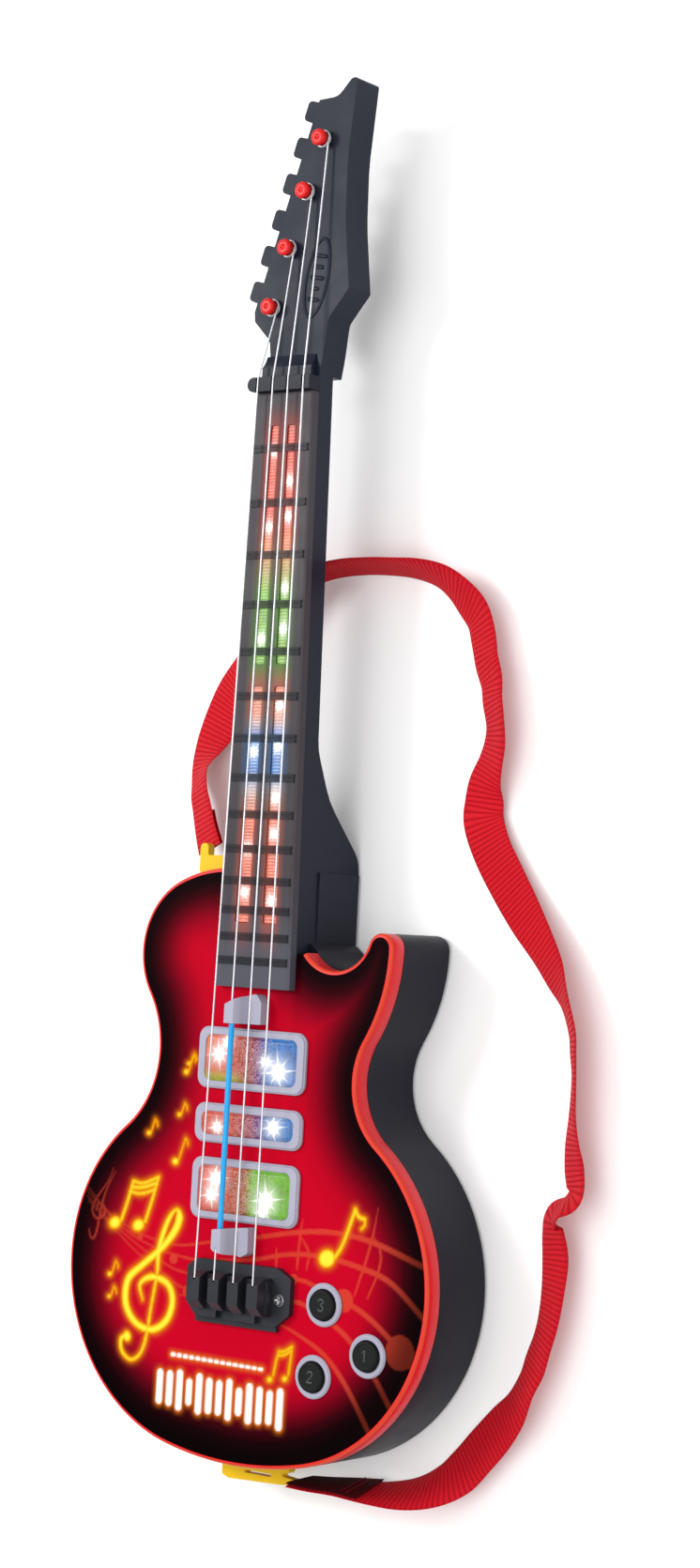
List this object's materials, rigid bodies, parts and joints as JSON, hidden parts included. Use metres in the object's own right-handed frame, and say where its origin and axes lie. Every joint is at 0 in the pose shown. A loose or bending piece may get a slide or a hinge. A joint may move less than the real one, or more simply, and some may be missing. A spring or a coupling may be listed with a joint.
{
  "type": "toy electric guitar",
  "caption": "Toy electric guitar with a red sunburst face, glowing pickup and neck lights, play buttons, steel strings, red tuning posts and a red webbing strap on yellow clips.",
  "frame": {"origin": "on the flat back, under the line where the strings meet the bridge, on the neck's centre line", "axes": "+Z leaves the face, +Y runs up the neck to the headstock, +X goes across to the player-side buttons"},
  "size_m": [0.2247, 0.5507, 0.0515],
  "materials": {
    "black_plastic": "moulded, satin",
    "charcoal_plastic": "moulded, soft sheen",
    "red_plastic": "gloss",
    "face_film": "printed sunburst with waves and notes",
    "grey_plastic": "moulded, matt",
    "clear_lens": "clear, crystal pattern, lit in colours",
    "button_cap": "satin, raised figure",
    "clear_rubber": "milky",
    "circuit_board": "solder mask",
    "lamp_resin": "clear epoxy",
    "speaker_steel": "pressed steel, grey",
    "paper_cone": "pulp cone",
    "cell_wrap": "printed sleeve, plain",
    "plated_steel": "nickel plated",
    "switch_metal": "tinned",
    "smoked_plastic": "smoked, satin",
    "lit_strip": "translucent, lit",
    "string_steel": "bright drawn wire",
    "blue_light_rod": "clear blue",
    "yellow_plastic": "moulded, satin",
    "red_webbing": "woven, ribbed"
  },
  "bodies": {
    "body": {"back_shell": "black_plastic", "front_shell": "red_plastic", "face_print": "face_film", "pickup_frame_1": "grey_plastic", "pickup_frame_2": "grey_plastic", "pickup_frame_3": "grey_plastic", "light_lens_1": "clear_lens", "light_lens_2": "clear_lens", "light_lens_3": "clear_lens", "button_ring_1": "grey_plastic", "button_ring_2": "grey_plastic", "button_ring_3": "grey_plastic", "button_dome_1": "clear_rubber", "button_dome_2": "clear_rubber", "button_dome_3": "clear_rubber", "control_board": "circuit_board", "light_board": "circuit_board", "pickup_leds": "lamp_resin", "speaker_frame": "speaker_steel", "speaker_cone": "paper_cone", "speaker_magnet": "speaker_steel", "batteries": "cell_wrap", "battery_springs": "plated_steel", "battery_plates": "plated_steel", "switch_body": "switch_metal", "neck_back": "charcoal_plastic", "neck_front": "charcoal_plastic", "fretboard": "smoked_plastic", "fret_lens_upper": "lit_strip", "fret_lens_lower": "lit_strip", "neck_led_board": "circuit_board", "neck_leds": "lamp_resin", "nut": "black_plastic", "string_1": "string_steel", "string_2": "string_steel", "string_3": "string_steel", "string_4": "string_steel", "bridge_base": "black_plastic", "bridge_saddles": "black_plastic", "bridge_screws": "plated_steel", "sensor_housing_upper": "grey_plastic", "sensor_housing_lower": "grey_plastic", "light_rod": "blue_light_rod", "body_screws": "plated_steel", "neck_screws": "plated_steel", "heel_screws": "plated_steel", "strap_clip_upper": "yellow_plastic", "strap_clip_lower": "yellow_plastic", "strap": "red_webbing", "board_screws": "plated_steel"},
    "button_1": {"button_1": "button_cap"},
    "button_2": {"button_2": "button_cap"},
    "button_3": {"button_3": "button_cap"},
    "battery_door": {"battery_door": "black_plastic", "door_screw": "plated_steel"},
    "power_switch": {"switch_knob": "red_plastic"},
    "post_1": {"string_post_1": "red_plastic"},
    "post_2": {"string_post_2": "red_plastic"},
    "post_3": {"string_post_3": "red_plastic"},
    "post_4": {"string_post_4": "red_plastic"}
  },
  "joints": [
    {"name": "button_1_press", "type": "slide", "parent": "body", "child": "button_1", "axis": [0, 0, -1], "range_m": [0, 0.0016], "stiffness_N_per_m": 400, "deforming": ["button_dome_1"]},
    {"name": "button_2_press", "type": "slide", "parent": "body", "child": "button_2", "axis": [0, 0, -1], "range_m": [0, 0.0016], "stiffness_N_per_m": 400, "deforming": ["button_dome_2"]},
    {"name": "button_3_press", "type": "slide", "parent": "body", "child": "button_3", "axis": [0, 0, -1], "range_m": [0, 0.0016], "stiffness_N_per_m": 400, "deforming": ["button_dome_3"]},
    {"name": "battery_door_open", "type": "hinge", "parent": "body", "child": "battery_door", "pos_m": [0, 0.013, 0.0013], "axis": [-1, 0, 0], "range_deg": [0, 75]},
    {"name": "power_switch_slide", "type": "slide", "parent": "body", "child": "power_switch", "axis": [0, 1, 0], "range_m": [0, 0.004]},
    {"name": "string_post_1_turn", "type": "hinge", "parent": "body", "child": "post_1", "pos_m": [-0.0101, 0.3793, 0.0425], "axis": [0, 0, 1], "range_deg": [-180, 180]},
    {"name": "string_post_2_turn", "type": "hinge", "parent": "body", "child": "post_2", "pos_m": [-0.0035, 0.4023, 0.0425], "axis": [0, 0, 1], "range_deg": [-180, 180]},
    {"name": "string_post_3_turn", "type": "hinge", "parent": "body", "child": "post_3", "pos_m": [0.0038, 0.4243, 0.0425], "axis": [0, 0, 1], "range_deg": [-180, 180]},
    {"name": "string_post_4_turn", "type": "hinge", "parent": "body", "child": "post_4", "pos_m": [0.0104, 0.4446, 0.0425], "axis": [0, 0, 1], "range_deg": [-180, 180]}
  ]
}
